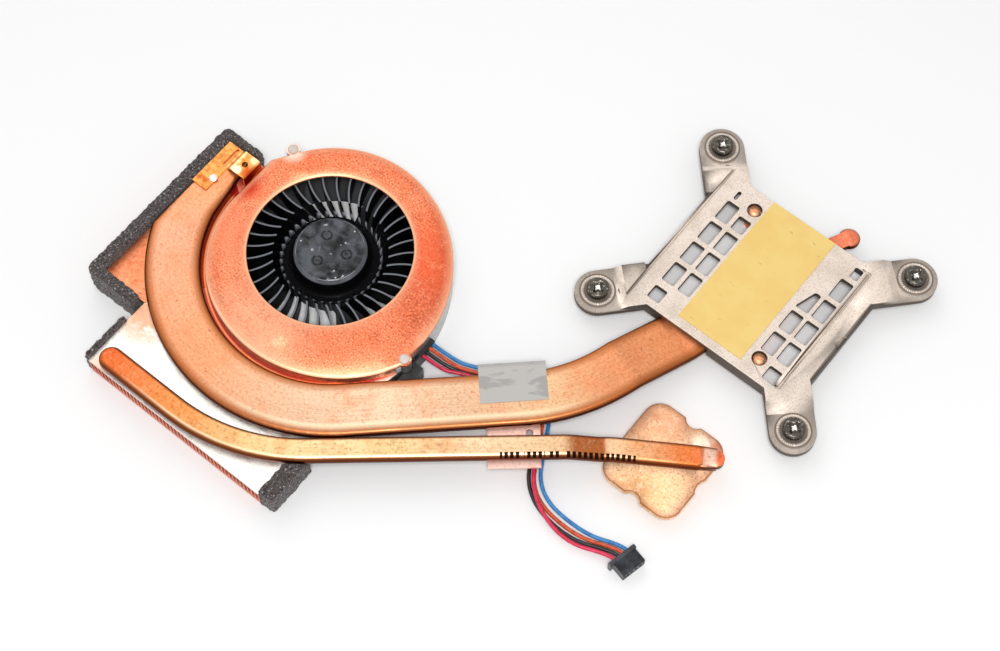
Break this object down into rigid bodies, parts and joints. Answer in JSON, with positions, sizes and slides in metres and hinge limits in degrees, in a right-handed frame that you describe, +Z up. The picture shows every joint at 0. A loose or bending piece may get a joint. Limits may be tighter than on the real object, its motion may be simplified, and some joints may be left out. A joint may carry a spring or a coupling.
{
  "type": "laptop cooling fan heatsink",
  "caption": "Flat copper heat pipes joining a blower fan and its fin stacks to a cast clamp bracket with captive screws and to a small chip plate.",
  "frame": {"origin": "fan axis at the plane the part stands on", "axes": "+Z up out of the air intake, +X from the fan towards the chip plate, +Y towards the clamp bracket"},
  "size_m": [0.1678, 0.1528, 0.0108],
  "materials": {
    "tray_metal": "plain pressed sheet",
    "cover_copper": "stained satin copper",
    "pipe_copper": "brushed copper",
    "plate_copper": "satin copper",
    "fin_copper": "dull copper",
    "tinned": "solder coated",
    "clip_brass": "bent sheet",
    "cast_alloy": "die cast",
    "dark_screw": "dark plated",
    "ring_steel": "spring steel",
    "rivet_white": "moulded",
    "rivet_metal": "bright",
    "black_plastic": "moulded",
    "impeller_plastic": "moulded",
    "motor_steel": "turned",
    "magnet": "bonded ferrite",
    "bearing_bronze": "sintered",
    "coil_copper": "enamelled wire",
    "board_green": "lacquered board",
    "foam": "open cell foam",
    "pad_yellow": "soft film",
    "tape_grey": "woven cloth tape",
    "wire_blue": "wire jacket",
    "wire_orange": "wire jacket",
    "wire_pink": "wire jacket",
    "wire_black": "wire jacket",
    "contact_tin": "plated"
  },
  "bodies": {
    "heatsink": {"fan_base": "tray_metal", "fan_cover": "cover_copper", "cover_rivets": "rivet_white", "wire_gate": "black_plastic", "sleeve_bearing": "bearing_bronze", "stator_core": "motor_steel", "stator_coils": "coil_copper", "motor_board": "board_green", "fin_stack_a": "fin_copper", "fin_stack_b": "fin_copper", "top_plate_a": "plate_copper", "top_plate_b": "tinned", "pipe_cpu": "pipe_copper", "pipe_gpu": "pipe_copper", "bridge_plate": "plate_copper", "cpu_block": "plate_copper", "gpu_plate": "plate_copper", "pipe_clip": "clip_brass", "clip_rivet": "rivet_metal", "cpu_bracket": "cast_alloy", "pad_film": "pad_yellow", "foam_a": "foam", "foam_b_left": "foam", "foam_b_right": "foam", "wire_tape": "tape_grey", "wire_blue": "wire_blue", "wire_orange": "wire_orange", "wire_pink": "wire_pink", "wire_black": "wire_black", "connector_housing": "black_plastic", "connector_contacts": "contact_tin"},
    "impeller": {"impeller": "impeller_plastic", "rotor_yoke": "motor_steel", "rotor_magnet": "magnet", "motor_shaft": "motor_steel"},
    "screw_ring_1": {"screw_ring_1": "ring_steel"},
    "screw_1": {"screw_1": "dark_screw"},
    "screw_ring_2": {"screw_ring_2": "ring_steel"},
    "screw_2": {"screw_2": "dark_screw"},
    "screw_ring_3": {"screw_ring_3": "ring_steel"},
    "screw_3": {"screw_3": "dark_screw"},
    "screw_ring_4": {"screw_ring_4": "ring_steel"},
    "screw_4": {"screw_4": "dark_screw"}
  },
  "joints": [
    {"name": "impeller_spin", "type": "hinge", "parent": "heatsink", "child": "impeller", "pos_m": [0, 0, 0.005], "axis": [0, 0, 1], "continuous": true},
    {"name": "screw_1_travel", "type": "slide", "parent": "heatsink", "child": "screw_ring_1", "axis": [0, 0, -1], "range_m": [0, 0.00215]},
    {"name": "screw_1_turn", "type": "hinge", "parent": "screw_ring_1", "child": "screw_1", "pos_m": [0.058, 0.0877, 0.003], "axis": [0, 0, 1], "continuous": true},
    {"name": "screw_2_travel", "type": "slide", "parent": "heatsink", "child": "screw_ring_2", "axis": [0, 0, -1], "range_m": [0, 0.00215]},
    {"name": "screw_2_turn", "type": "hinge", "parent": "screw_ring_2", "child": "screw_2", "pos_m": [0.118, 0.0877, 0.003], "axis": [0, 0, 1], "continuous": true},
    {"name": "screw_3_travel", "type": "slide", "parent": "heatsink", "child": "screw_ring_3", "axis": [0, 0, -1], "range_m": [0, 0.00215]},
    {"name": "screw_3_turn", "type": "hinge", "parent": "screw_ring_3", "child": "screw_3", "pos_m": [0.118, 0.0347, 0.003], "axis": [0, 0, 1], "continuous": true},
    {"name": "screw_4_travel", "type": "slide", "parent": "heatsink", "child": "screw_ring_4", "axis": [0, 0, -1], "range_m": [0, 0.00215]},
    {"name": "screw_4_turn", "type": "hinge", "parent": "screw_ring_4", "child": "screw_4", "pos_m": [0.058, 0.0347, 0.003], "axis": [0, 0, 1], "continuous": true}
  ]
}
